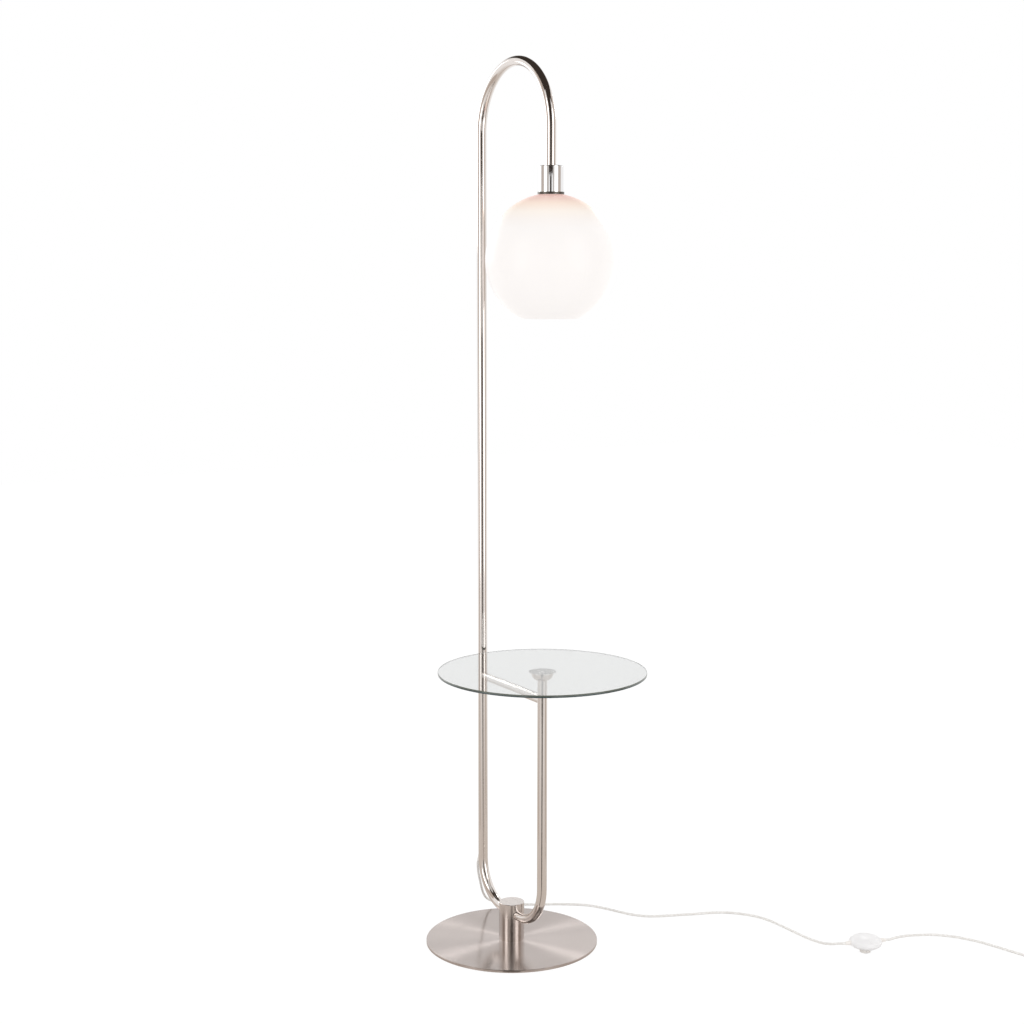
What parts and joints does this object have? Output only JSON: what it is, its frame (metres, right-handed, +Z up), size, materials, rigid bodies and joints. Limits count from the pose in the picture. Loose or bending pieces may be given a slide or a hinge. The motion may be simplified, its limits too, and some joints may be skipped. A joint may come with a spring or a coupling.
{
  "type": "floor lamp",
  "caption": "Floor lamp with a round glass table: one bent nickel plated tube in a post on a steel disc, an arch with an opal globe, and a foot switch on the cord.",
  "frame": {"origin": "on the floor, under the centre of the base plate", "axes": "+X runs from the pole to the table's leg, +Z is up"},
  "size_m": [0.8433, 1.1931, 1.733],
  "materials": {
    "satin_steel": "satin nickel, brushed in rings",
    "polished_nickel": "nickel plated, polished",
    "chrome": "polished",
    "hardware": "zinc plated",
    "brass": "plain",
    "table_glass": "clear float glass, polished edge",
    "opal_glass": "opal, gloss",
    "bulb_glass": "frosted",
    "felt": "felt",
    "black_plastic": "moulded",
    "dark_ring": "dark bronze",
    "soft_plastic": "soft",
    "cord": "clear insulation over copper",
    "clear_plastic": "clear, moulded",
    "pale_plastic": "moulded"
  },
  "bodies": {
    "lamp": {"felt_pad": "felt", "base_plate": "satin_steel", "post": "satin_steel", "post_plug": "satin_steel", "clamp_screw": "hardware", "locating_pin": "hardware", "u_tube": "polished_nickel", "cross_bar": "polished_nickel", "pole_insert": "hardware", "arch_insert": "hardware", "arch_stud": "brass", "arch_tube": "polished_nickel", "riser_insert": "hardware", "table_stud": "hardware", "table_bell": "polished_nickel", "bell_washer": "soft_plastic", "glass_disc": "polished_nickel", "glass_top": "table_glass", "drop_insert": "hardware", "neck_ring": "polished_nickel", "nipple": "brass", "lock_nut": "brass", "cup": "chrome", "holder_cap": "black_plastic", "holder_skirt": "black_plastic", "screw_shell": "brass", "holder_contact": "brass", "collar": "dark_ring", "globe_gasket": "soft_plastic", "retaining_ring": "black_plastic", "globe": "opal_glass", "bulb_glass": "bulb_glass", "bulb_base": "chrome", "bulb_insulator": "black_plastic", "inner_lead": "cord", "lead_relief": "pale_plastic", "cord_lamp": "cord", "cord_wall": "cord", "cord_coil": "cord", "cord_tie": "black_plastic", "cord_tail": "cord", "switch_lower_shell": "clear_plastic", "switch_upper_shell": "clear_plastic", "switch_block": "pale_plastic", "switch_spring": "hardware", "switch_contacts": "brass", "switch_leads": "cord", "switch_reliefs": "pale_plastic", "switch_screws": "hardware", "plug_body": "pale_plastic", "plug_sleeves": "black_plastic", "plug_pins": "hardware"},
    "button": {"switch_button": "pale_plastic", "switch_bridge": "brass"}
  },
  "joints": [
    {"name": "switch_press", "type": "slide", "parent": "lamp", "child": "button", "axis": [0, 0, 1], "range_m": [0, 0.003], "stiffness_N_per_m": 1500, "deforming": ["switch_spring"]}
  ]
}
